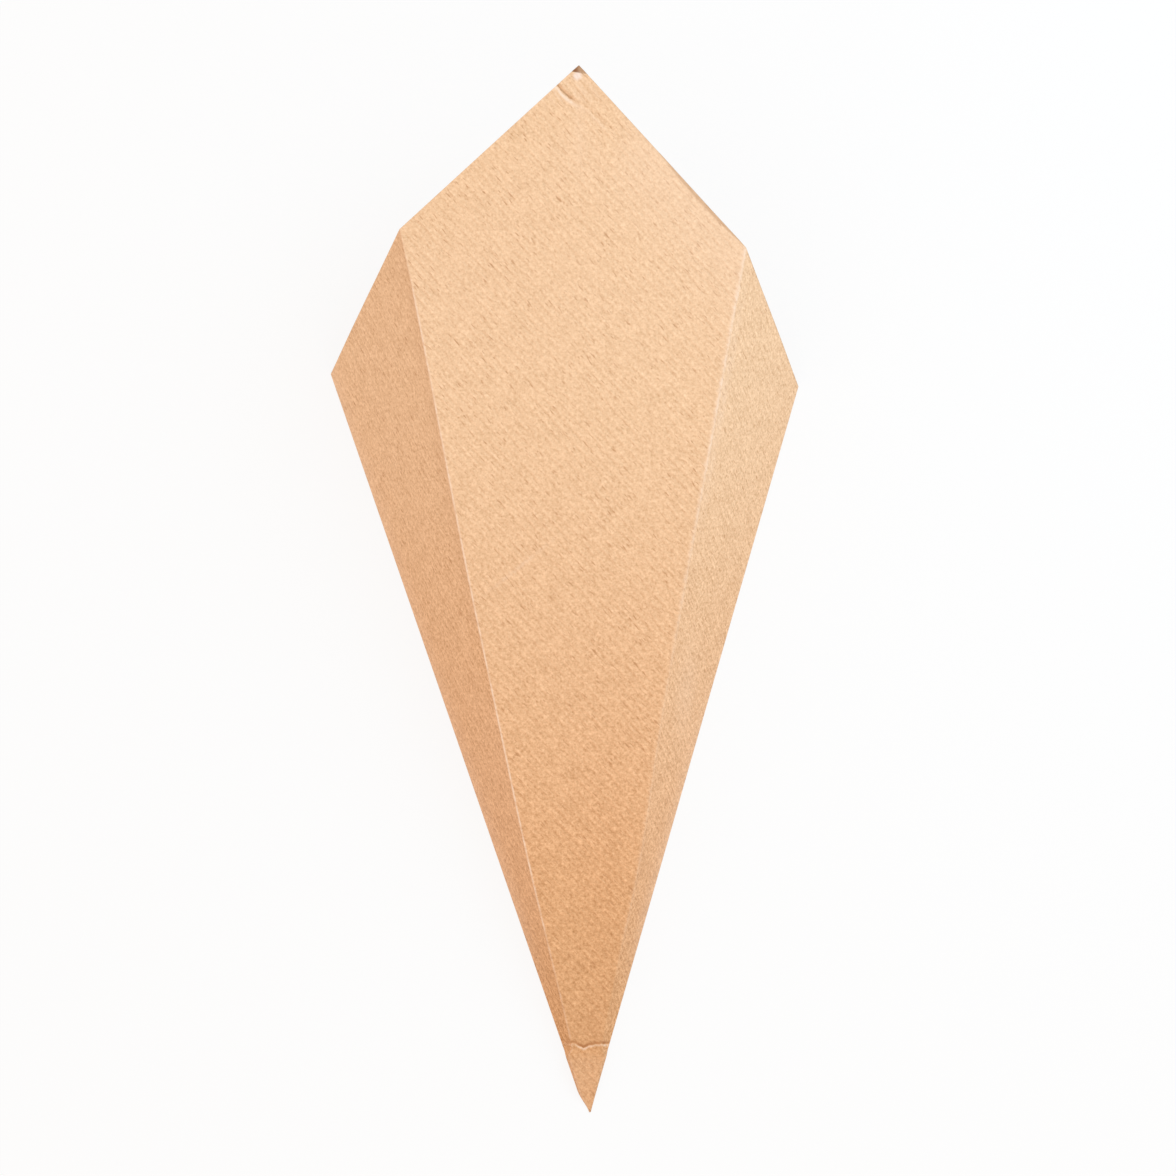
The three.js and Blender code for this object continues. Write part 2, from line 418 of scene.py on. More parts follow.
    def place(self, points: SheetPoints) -> tuple[Array, Array]:
        """Folds points of the sheet's middle layer.

        Args:
            points: Points of the flat sheet.

        Returns:
            Their places on the bag, and the outward direction at each.
        """
        angles, reach, folds = points.angles, points.reach, points.folds
        rays = self._bag_rays(folds)
        normals = self._panel_normals(rays)
        half_turns = self._half_turns(normals)
        feet = self.feet(reach)
        sizes = self.sizes
        first = np.full(reach.shape + (1,), sizes.left_edge_angle)
        last = np.full(reach.shape + (1,), sizes.right_edge_angle)
        ray_angles = np.concatenate([first, folds, last], axis=-1)
        panel = np.clip(np.sum(angles[..., None] < folds, axis=-1), 0, len(Fold))
        left, right = pick_vector(rays, panel), pick_vector(rays, panel + 1)
        left_angle, right_angle = pick(ray_angles, panel), pick(ray_angles, panel + 1)
        share = ((left_angle - angles) / (left_angle - right_angle))[..., None]
        opening = np.arccos(np.clip(np.sum(left * right, axis=-1), -1, 1))[..., None]
        direction = left * np.sin((1 - share) * opening) + right * np.sin(share * opening)
        places = unit(direction) * reach[..., None]
        outwards = pick_vector(normals, panel)

        for fold in Fold:
            turn = points.turn(fold)
            offset = reach * np.sin(turn)
            foot = feet[..., fold]
            in_bend = np.abs(offset) < foot
            before, after = normals[..., fold, :], normals[..., fold + 1, :]
            middle = unit(before + after)
            sideways = unit(after - before)
            bend = (offset / foot * half_turns[..., fold])[..., None]
            bent = middle * np.cos(bend) + sideways * np.sin(bend)
            radius = (foot / np.tan(half_turns[..., fold]))[..., None]
            centre = rays[..., fold + 1, :] * (reach * np.cos(turn))[..., None]
            centre = centre - middle * radius / np.cos(half_turns[..., fold])[..., None]
            places = np.where(in_bend[..., None], centre + bent * radius, places)
            outwards = np.where(in_bend[..., None], bent, outwards)

        places[..., 2] += self._layer_height(panel, share[..., 0])
        return places, outwards

    def _layer_height(self, panel: Array, share: Array) -> Array:
        """Height of the middle layer over the fold plane, as the flaps lie on each other."""
        sizes = self.sizes
        above = sizes.paper / 2 + sizes.layer_gap
        below = -sizes.paper / 2
        lifts = np.array([above, above, 0.0, 0.0, below, below])
        return sizes.paper + lifts[panel] * (1 - share) + lifts[panel + 1] * share

    def relief(self, points: SheetPoints) -> Array:
        """Height of the paper over its folded form, outwards positive."""
        width, into = self.rolled_edge(points)
        rolled = self.handling.roll_drop * width * (1.0 - np.sqrt(1.0 - into**2))
        grooves = self._tip_groove(points) + self._peak_creases(points)
        return self._panel_swell(points) + grooves - rolled

    @staticmethod
    def _arch(points: SheetPoints, first: Fold) -> Array:
        """A rise across the panel to the right of a fold, 0 at its folds and 1 halfway."""
        left, right = points.folds[..., first], points.folds[..., first + 1]
        share = (left - points.angles) / (left - right)
        inside = (share > 0) & (share < 1)
        return np.where(inside, np.sin(np.pi * np.clip(share, 0, 1)) ** 2, 0.0)

    def _panel_swell(self, points: SheetPoints) -> Array:
        """Sag and lift of the front panel between its creases, and swell of the side panels."""
        handling, reach = self.handling, points.reach
        sag = handling.front_sag * bell(reach, *handling.front_sag_place)
        lift = handling.peak_lift * smooth_step(reach, *handling.peak_lift_rise)
        lift *= 1 - smooth_step(reach, *handling.peak_lift_fade)
        left = handling.left_swell * self._arch(points, Fold.BACK_LEFT)
        right = handling.right_swell * self._arch(points, Fold.FRONT_RIGHT)
        swell = (left + right) * bell(reach, *handling.swell_place)
        return swell + self._arch(points, Fold.FRONT_LEFT) * (lift - sag)

    @staticmethod
    def off_tip_groove(points: SheetPoints) -> Array:
        """Distance above the tip's groove, which is a little wavy."""
        wave = 0.07 * np.sin(points.across * 3.4 + 0.8)
        return points.up - line_through(TIP_GROOVE, points.across) - wave

    def off_peak_groove(self, points: SheetPoints) -> tuple[Array, Array]:
        """Distance above the peak's groove, and how strong it is there."""
        handling, across = self.handling, points.across
        wave = 0.1 * np.sin(across * 3.1)
        rest = handling.peak_groove_rest
        strength = rest + (1 - rest) * (1 - smooth_step(across, *handling.peak_groove_drop))
        strength *= smooth_step(across, *handling.peak_groove_rise)
        strength *= 1 - smooth_step(across, *handling.peak_groove_fade)
        return points.up - line_through(PEAK_GROOVE, across) - wave, strength

    def _tip_groove(self, points: SheetPoints) -> Array:
        """The groove that was pressed across the tip, with a lip along its lower side."""
        handling = self.handling
        off = self.off_tip_groove(points) / handling.groove_width
        profile = handling.groove_lip * bell(off, -1.9, 1.0) - bell(off, 0.0, 1.0)
        to_back = np.minimum(points.turn(Fold.BACK_LEFT), -points.turn(Fold.BACK_RIGHT))
        fade = smooth_step(to_back * handling.groove_reach, 0.15, 1.3)
        return fade * handling.groove_depth * profile

    def _peak_creases(self, points: SheetPoints) -> Array:
        """The groove where the peak was bent and flattened again, and the turned corner."""
        handling = self.handling
        off, strength = self.off_peak_groove(points)
        off = off / handling.peak_groove_width
        profile = handling.peak_groove_ledge * bell(off, 2.4, 1.0) - bell(off, 0.0, 1.0)
        fold = self.sizes.diagonal - handling.dog_ear
        ear = np.maximum(points.up + handling.dog_ear_slant * points.across - fold, 0.0)
        return handling.peak_groove_depth * strength * profile - handling.dog_ear_turn * ear

    def rolled_edge(self, points: SheetPoints) -> tuple[Array, Array]:
        """Where the mouth's right edge is rolled under, between the peak and a fold.

        Args:
            points: Points of the sheet.

        Returns:
            Width of the rolled strip, and how far into it each point lies, from 0 to 1.
        """
        handling, sizes = self.handling, self.sizes
        from_edge = points.from_edge(sizes.right_edge, sizes.right_edge_angle)
        from_peak = np.hypot(points.across, points.up - sizes.diagonal)
        length = handling.roll_to - handling.roll_from
        span = np.clip((from_peak - handling.roll_from) / length, 0.0, 1.0)
        width = np.maximum(handling.roll_width * np.sin(np.pi * span) ** 0.7, 1e-3)
        return width, np.clip(1.0 - from_edge / width, 0.0, 1.0)


class NodeBench:
    """Short calls for building a node tree."""

    def __init__(self, tree: bpy.types.NodeTree) -> None:
        """Keeps the tree that the nodes go into."""
        self.tree = tree

    @classmethod
    def emptied(cls, owner: bpy.types.ID) -> "NodeBench":
        """Clears the tree of a material or a world, and gives a bench for it."""
        owner.use_nodes = True
        owner.node_tree.nodes.clear()
        return cls(owner.node_tree)

    def add(self, kind: str, inputs: dict | None = None, **settings: object) -> bpy.types.Node:
        """Adds a node.

        Args:
            kind: The node's type name.
            inputs: What goes into the node, by the name or the number of the input.
            settings: Properties of the node to set.

        Returns:
            The new node.
        """
        node = self.tree.nodes.new(kind)
        for name, value in settings.items():
            setattr(node, name, value)
        for name, source in (inputs or {}).items():
            self.feed(node.inputs[name], source)
        return node

    def feed(self, socket: Socket, source: object) -> None:
        """Links a socket to another one, or sets its value."""
        if isinstance(source, Socket):
            self.tree.links.new(source, socket)
        else:
            socket.default_value = source

    def math(self, operation: str, *sources: object) -> Socket:
        """Adds a sum of numbers.

        Args:
            operation: Name of the operation, such as ADD.
            sources: Sockets or numbers, in the order of the node's inputs.

        Returns:
            The result's socket.
        """
        node = self.add("ShaderNodeMath", dict(enumerate(sources)), operation=operation)
        return node.outputs[0]

    def vector(self, operation: str, *sources: object) -> Socket:
        """Adds a sum of vectors, and gives its result, which may be a vector or a number."""
        node = self.add("ShaderNodeVectorMath", dict(enumerate(sources)), operation=operation)
        return next(one for one in node.outputs if one.enabled)

    def scaled(self, vector: object, factor: object) -> Socket:
        """A vector times a number."""
        node = self.add("ShaderNodeVectorMath", {0: vector, "Scale": factor}, operation="SCALE")
        return node.outputs["Vector"]

    def dot(self, point: object, across: float, up: float) -> Socket:
        """How far a point of the sheet lies in a direction of the sheet."""
        return self.vector("DOT_PRODUCT", point, (float(across), float(up), 0.0))

    def split(self, vector: object) -> tuple[Socket, ...]:
        """The three numbers of a vector."""
        return tuple(self.add("ShaderNodeSeparateXYZ", {0: vector}).outputs)

    def stored(self, name: str, output: str = "Fac") -> Socket:
        """Reads what is stored with the mesh."""
        return self.add("ShaderNodeAttribute", attribute_name=name).outputs[output]

    def noise(self, place: Socket, scale: float, detail: float = 2.0, rough: float = 0.5) -> Socket:
        """Adds noise from 0 to 1.

        Args:
            place: The point at which the noise is read.
            scale: Grains to a millimetre, when the point is in millimetres.
            detail: How many finer layers are added.
            rough: Share of the finer layers.

        Returns:
            The noise's socket.
        """
        inputs = {"Vector": place, "Scale": scale, "Detail": detail, "Roughness": rough}
        return self.add("ShaderNodeTexNoise", inputs).outputs["Fac"]

    def grade(
        self, source: Socket, low: float, high: float, to_low: float, to_high: float
    ) -> Socket:
        """Grades a number smoothly from one range to another."""
        inputs = dict(enumerate((source, low, high, to_low, to_high)))
        node = self.add("ShaderNodeMapRange", inputs, interpolation_type="SMOOTHSTEP")
        return node.outputs["Result"]

    def bell(self, source: object, middle: float, width: float) -> Socket:
        """A bell curve that is 1 at its middle and about a third at one width from it."""
        off = self.math("DIVIDE", self.math("SUBTRACT", source, middle), width)
        fall = self.math("MULTIPLY", self.math("MULTIPLY", off, off), -1.0)
        return self.math("EXPONENT", fall)

    def total(self, *parts: tuple[float, object]) -> Socket:
        """Adds up numbers, each given with its share."""
        result: object = 0.0
        for share, part in parts:
            result = self.math("MULTIPLY_ADD", part, share, result)
        return result

    def product(self, *factors: object) -> Socket:
        """Multiplies numbers with each other."""
        return reduce(lambda result, factor: self.math("MULTIPLY", result, factor), factors)

    def wave(self, place: object, pitch: float) -> Socket:
        """A sine that repeats at a pitch."""
        return self.math("SINE", self.math("MULTIPLY", place, 2 * np.pi / pitch))

    def blend(self, share: object, first: object, second: object) -> Socket:
        """Mixes two colours by a share from 0 to 1."""
        node = self.add("ShaderNodeMix", data_type="RGBA")
        for name, source in (("Factor", share), ("A", first), ("B", second)):
            kind = "VALUE" if name == "Factor" else "RGBA"
            socket = next(one for one in node.inputs if one.name == name and one.type == kind)
            self.feed(socket, source)
        return next(one for one in node.outputs if one.type == "RGBA")


class Line(NamedTuple):
    """A line beside a crease or groove: pale where its strength is above 0, else dark."""

    offset: float
    width: float
    strength: float


@dataclass(frozen=True)
class KraftPaper:
    """Finish of laid kraft paper: fine ribs, fibres and dark flecks, with lighter creases whose pale
    lines are painted highlights along their ridges.
    """

    near_mouth: Colour = (0.905, 0.597, 0.362, 1.0)
    near_tip: Colour = (0.80, 0.438, 0.217, 1.0)
    at_tip: Colour = (0.75, 0.412, 0.2, 1.0)
    # Pale colour of wear at the back folds, and of painted highlights and painted light on creases,
    # lips and broad areas.
    pale_mark: Colour = (1.0, 0.74, 0.55, 1.0)
    # Dark brown of the flecks, which also serves as painted shade in the grooves and under the rolled
    # edge.
    fleck_and_painted_shade: Colour = (0.50, 0.235, 0.10, 1.0)
    # Painted shade on the bent-over corner of the peak.
    painted_dog_ear_shade: Colour = (0.30, 0.13, 0.055, 1.0)
    bared: Colour = (0.98, 0.78, 0.66, 1.0)
    grain_tint: tuple[float, float, float] = (0.8, 1.0, 1.28)
    grain_share: float = 0.72
    dash_share: float = 0.3
    chain_share: float = 0.2
    broad_share: float = 0.28
    rib_share: float = 0.046
    side_share: float = 0.3
    # How far painted shade, and one dark mark, turn towards the dark brown.
    painted_shade_and_mark_darkening: float = 0.75
    fold_wear: float = 0.4
    # Painted shade under the rolled edge of the mouth.
    roll_shade: float = 0.7

    # The pale lines along the two front creases and on the grooves' lower lips are painted highlights;
    # the dark lines inside the grooves are painted shade.
    left_crease: Line = Line(0.0, 0.24, 1.0)
    right_crease: Line = Line(0.1, 0.55, 1.0)
    beside_right: Line = Line(2.4, 1.9, 0.3)
    tip_lip: Line = Line(-0.36, 0.26, 1.25)
    tip_hollow: Line = Line(0.35, 0.42, -1.7)
    peak_lip: Line = Line(-1.05, 0.55, 1.3)
    peak_hollow: Line = Line(0.1, 0.42, -1.15)

    rib_pitch: float = 2.2
    rib_height: float = 0.035
    pit_height: float = 0.28
    dash_height: float = 0.09
    roughness: float = 0.88
    specular: float = 0.25


class PaperTree:
    """The paper's material, from its finish and from what is stored with the mesh."""

    def __init__(self, finish: KraftPaper, sizes: SheetSizes, handling: Handling) -> None:
        """Starts the tree with the places on the sheet that its parts share.

        Args:
            finish: Colours, shares and heights.
            sizes: The sheet, for the direction of the ribs and the place of the peak.
            handling: The marks of use, for the turned corner.
        """
        self.finish = finish
        self.sizes = sizes
        self.handling = handling
        self.material = bpy.data.materials.new("laid_kraft_paper")
        bench = NodeBench.emptied(self.material)
        self.bench = bench
        self.point = bench.stored("sheet", "Vector")
        self.across, self.up, _ = bench.split(self.point)
        edge = np.radians(sizes.right_edge_angle)
        self.over = bench.dot(self.point, -np.sin(edge), np.cos(edge))
        self.along = bench.dot(self.point, -np.cos(edge), -np.sin(edge))
        self.patches = bench.grade(bench.noise(self.point, 0.09), 0.36, 0.64, 0.6, 1.1)

    def build(self) -> bpy.types.Material:
        """Joins colour and relief in one shader.

        Returns:
            The finished material.
        """
        bench, finish, point = self.bench, self.finish, self.point
        ribs = self._ribs()
        dashes = self._streaks(1.7, 0.6)
        grains = (
            (finish.grain_share, bench.noise(point, 1.15, 1.0, 1.0)),
            (finish.dash_share, dashes),
            (finish.chain_share, self._streaks(0.8, 1.6)),
            (finish.broad_share, bench.noise(point, 0.22, 2.0, 0.65)),
        )
        colour = self._flecks(self._colour(ribs, grains))
        # Broad painted light and shade of the panels, with a few paler and darker patches, stored with
        # the mesh.
        colour = self._marked(colour, bench.stored("tone_and_painted_light"), 1.0)
        patchy = bench.grade(bench.noise(point, 0.35, 3.0, 0.7), 0.36, 0.62, 0.4, 1.0)
        colour = self._marked(colour, self._marks(), patchy)
        pits = bench.noise(bench.vector("ADD", point, (40.0, 0.0, 0.0)), 1.1, 1.0)
        height = bench.total(
            (finish.rib_height, ribs), (finish.pit_height, pits), (finish.dash_height, dashes)
        )
        bump = bench.add("ShaderNodeBump", {"Distance": MM, "Height": height})
        surface = {
            "Roughness": finish.roughness,
            "Specular IOR Level": finish.specular,
            "Base Color": self._peak_with_painted_shade(colour),
            "Normal": bump.outputs["Normal"],
        }
        shader = bench.add("ShaderNodeBsdfPrincipled", surface)
        bench.add("ShaderNodeOutputMaterial", {"Surface": shader.outputs["BSDF"]})
        return self.material

    def _streaks(self, fine: float, long: float) -> Socket:
        """Noise that is stretched along or across the ribs.

        Args:
            fine: Grains to a millimetre across the ribs.
            long: Grains to a millimetre along the ribs.

        Returns:
            The noise's socket.
        """
        bench = self.bench
        place = {"X": bench.product(self.over, fine), "Y": bench.product(self.along, long)}
        return bench.noise(bench.add("ShaderNodeCombineXYZ", place).outputs["Vector"], 1.0, 1.0)

    def _ribs(self) -> Socket:
        """The laid ribs, every other one a little stronger, fading in patches."""
        bench, pitch = self.bench, self.finish.rib_pitch
        wander = bench.math("MULTIPLY_ADD", bench.noise(self.point, 0.12, 1.0), 0.9, self.over)
        ribs = bench.total((0.8, bench.wave(wander, pitch)), (0.5, bench.wave(wander, pitch / 2)))
        return bench.product(ribs, self.patches)

    def _colour(self, ribs: object, grains: tuple) -> Socket:
        """Brown that is paler towards the mouth, mottled by its grains and ribs.

        Args:
            ribs: Height of the ribs.
            grains: Pairs of a share in the shade and a noise.

        Returns:
            The colour's socket.
        """
        bench, finish = self.bench, self.finish
        rise = bench.grade(self.up, 35.0, 195.0, 0.0, 1.0)
        plain = bench.blend(rise, finish.near_tip, finish.near_mouth)
        plain = bench.blend(bench.grade(self.up, 25.0, 85.0, 1.0, 0.0), plain, finish.at_tip)
        centred = ((share, bench.math("SUBTRACT", noise, 0.5)) for share, noise in grains)
        shade = bench.total((finish.rib_share, ribs), *centred)
        off_left, off_right, _ = bench.split(bench.stored("creases", "Vector"))
        left = bench.grade(off_left, -0.6, 0.0, finish.side_share, 0.0)
        right = bench.grade(off_right, 0.0, 0.6, 0.0, finish.side_share)
        sides = bench.math("ADD", bench.math("ADD", left, right), 1.0)
        shade = bench.product(shade, bench.math("MULTIPLY_ADD", rise, -0.48, 1.28), sides)
        tint = bench.vector("ADD", bench.scaled(finish.grain_tint, shade), (1.0, 1.0, 1.0))
        return bench.vector("MULTIPLY", plain, tint)

    def _flecks(self, colour: object) -> Socket:
        """Short dark dashes in the hollows between ribs, and small dark specks."""
        bench = self.bench
        dashes = bench.grade(self._streaks(1.8, 0.34), 0.62, 0.74, 0.0, 0.6)
        specks = bench.grade(bench.noise(self.point, 1.1, 1.0), 0.73, 0.8, 0.0, 0.45)
        both = bench.math("MAXIMUM", bench.product(dashes, self.patches), specks)
        return bench.blend(both, colour, self.finish.fleck_and_painted_shade)

    def _marked(self, colour: object, mark: object, patchy: object) -> Socket:
        """Makes a colour paler where a mark is above 0, in patches, and darker below 0."""
        bench, finish = self.bench, self.finish
        pale = bench.product(bench.math("MAXIMUM", mark, 0.0), patchy)
        dark = bench.math("MAXIMUM", bench.product(mark, -finish.painted_shade_and_mark_darkening), 0.0)
        return bench.blend(dark, bench.blend(pale, colour, finish.pale_mark), finish.fleck_and_painted_shade)

    def _line(self, off: object, line: Line, *fades: object) -> tuple[float, object]:
        """Strength of a line, and where it shows, from the distance to its crease or groove."""
        shown = self.bench.bell(off, line.offset, line.width)
        return line.strength, self.bench.product(shown, *fades)

    def _marks(self) -> Socket:
        """Adds the lines along creases and grooves: above 0 pale, below 0 dark. The pale lines along
        the front creases and on the grooves' lower lips are painted highlights, and the dark lines
        inside the grooves are painted shade.
        """
        bench, finish, across, up = self.bench, self.finish, self.across, self.up
        left, right, _ = bench.split(bench.stored("creases", "Vector"))
        tip, peak, strength = bench.split(bench.stored("grooves", "Vector"))
        wander = bench.math("SUBTRACT", bench.noise(self.point, 0.8), 0.5)
        near_left = bench.math("MULTIPLY_ADD", wander, 0.25, left)
        near_right = bench.math("MULTIPLY_ADD", wander, 1.2, right)
        left_rise = bench.grade(up, 26.0, 75.0, 0.4, 1.3)
        left_fade = bench.grade(up, 203.0, 222.0, 1.0, 0.25)
        right_rise = bench.grade(up, 95.0, 195.0, 0.15, 0.85)
        right_start = bench.grade(up, 34.0, 50.0, 0.0, 1.0)
        uneven = bench.total(
            (0.45, bench.grade(across, -4.4, -2.0, 0.4, 1.0)),
            (0.35, bench.bell(across, -0.6, 1.5)),
            (0.3, bench.bell(across, 4.8, 1.2)),
        )
        return bench.total(
            # Wear at the back folds, and painted shade under the rolled edge.
            (1.0, bench.stored("wear_and_painted_shade")),
            # Painted highlights along the two front creases.
            self._line(near_left, finish.left_crease, left_rise, left_fade),
            self._line(near_right, finish.right_crease, right_rise, right_start),
            self._line(right, finish.beside_right, bench.bell(up, 183.0, 26.0)),
            # Painted highlights on the grooves' lower lips, and painted shade inside the grooves.
            self._line(tip, finish.tip_lip, uneven),
            self._line(tip, finish.tip_hollow, uneven),
            self._line(peak, finish.peak_lip, strength),
            self._line(peak, finish.peak_hollow, strength),
            # Painted light and shade of the pleats near the peak.
            (1.0, self._painted_pleat_shading()),
            (1.0, self._faint_lines()),
        )

    def _painted_pleat_shading(self) -> Socket:
        """Painted light and shade of the fine slanting pleats between the peak's groove and its turned
        corner.
        """
        bench, slant = self.bench, np.radians(38)
        over = bench.dot(self.point, np.cos(slant), np.sin(slant))
        waves = bench.total((0.2, bench.wave(over, 2.0)), (0.15, bench.wave(over, 0.93)))
        to_right = bench.grade(self.across, 1.0, 6.0, 1.0, 0.4)
        return bench.product(bench.math("ADD", waves, 0.12), to_right, bench.bell(self.up, 263.0, 4.0))

    def _faint_lines(self) -> Socket:
        """A faint pale crease across the lower front, and a short dark mark above it."""
        bench = self.bench
        over, along = bench.dot(self.point, -0.62, 0.785), bench.dot(self.point, 0.785, 0.62)
        crease = bench.product(bench.bell(over, 120.9, 0.5), bench.bell(along, 74.5, 9.0))
        mark = bench.product(bench.bell(self.across, 17.4, 0.6), bench.bell(self.up, 179.0, 6.0))
        return bench.total((0.3, crease), (-0.14, mark))

    def _peak_with_painted_shade(self, colour: object) -> Socket:
        """The bent-over corner of the peak, painted dark as the shade of its side turned away from the
        light, and a bare spot below it.
        """
        bench, finish, peak = self.bench, self.finish, self.sizes.diagonal
        spot = bench.vector("DISTANCE", self.point, (-0.4, peak - 2.75, 0.0))
        colour = bench.blend(bench.grade(spot, 0.4, 1.6, 1.0, 0.0), colour, finish.bared)
        over = bench.dot(self.point, self.handling.dog_ear_slant, 1.0)
        fold = peak - self.handling.dog_ear
        ear_shade = bench.grade(over, fold - 0.15, fold + 0.15, 0.0, 1.0)
        ear_shade = bench.product(ear_shade, bench.grade(self.across, -1.0, 0.4, 1.0, 0.62))
        return bench.blend(ear_shade, colour, finish.painted_dog_ear_shade)


@dataclass(frozen=True)
class Cockle:
    """The slight waviness of paper that has been handled, as a Geometry Nodes tree."""

    height: float
    size: float
    seed: int = 7

    def _tree(self) -> bpy.types.GeometryNodeTree:
        """Builds the tree: noise along the sheet moves points outwards or inwards."""
        tree = bpy.data.node_groups.new("paper_cockle", "GeometryNodeTree")
        sockets = (
            ("Geometry", "INPUT", "Geometry"),
            ("Height", "INPUT", "Float"),
            ("Wave Size", "INPUT", "Float"),
            ("Seed", "INPUT", "Float"),
            ("Paper", "INPUT", "Material"),
            ("Geometry", "OUTPUT", "Geometry"),
        )
        for name, side, kind in sockets:
            tree.interface.new_socket(name, in_out=side, socket_type=f"NodeSocket{kind}")
        bench = NodeBench(tree)
        inputs = bench.add("NodeGroupInput").outputs

        def stored(name: str, kind: str) -> Socket:
            """Reads an attribute of the mesh."""
            node = bench.add("GeometryNodeInputNamedAttribute", {"Name": name}, data_type=kind)
            return next(one for one in node.outputs if one.name == "Attribute" and one.enabled)

        finer = bench.math("DIVIDE", 1.0, inputs["Wave Size"])
        place = bench.scaled(stored("sheet", "FLOAT_VECTOR"), finer)
        waves = {"Vector": place, "W": inputs["Seed"], "Scale": 1.0, "Detail": 1.5}
        noise = bench.add("ShaderNodeTexNoise", waves, noise_dimensions="4D").outputs["Fac"]
        centred = bench.math("SUBTRACT", noise, 0.5)
        amount = bench.product(centred, inputs["Height"], stored("give", "FLOAT"))
        offset = bench.scaled(stored("outwards", "FLOAT_VECTOR"), amount)
        shape = {"Geometry": inputs["Geometry"], "Offset": offset}
        moved = bench.add("GeometryNodeSetPosition", shape).outputs["Geometry"]
        real = bench.add("GeometryNodeRealizeInstances", {"Geometry": moved}).outputs["Geometry"]
        dress = {"Geometry": real, "Material": inputs["Paper"]}
        dressed = bench.add("GeometryNodeSetMaterial", dress).outputs["Geometry"]
        bench.add("NodeGroupOutput", {"Geometry": dressed})
        return tree

    def apply(self, piece: bpy.types.Object, paper: bpy.types.Material) -> None:
        """Runs the tree on a piece and keeps the result as its plain mesh.

        Args:
            piece: The object with the attributes sheet, outwards and give.
            paper: The material that the tree sets.
        """
        modifier = piece.modifiers.new("cockle", "NODES")
        modifier.node_group = self._tree()
        settings = {
            "Height": self.height * MM,
            "Wave Size": self.size,
            "Seed": float(self.seed),
            "Paper": paper,
        }
        for item in modifier.node_group.interface.items_tree:
            if item.in_out == "INPUT" and item.name in settings:
                modifier[item.identifier] = settings[item.name]
        bpy.context.view_layer.update()
        evaluated = piece.evaluated_get(bpy.context.evaluated_depsgraph_get())
        plain = bpy.data.meshes.new_from_object(evaluated)
        piece.modifiers.remove(modifier)
        piece.data = plain


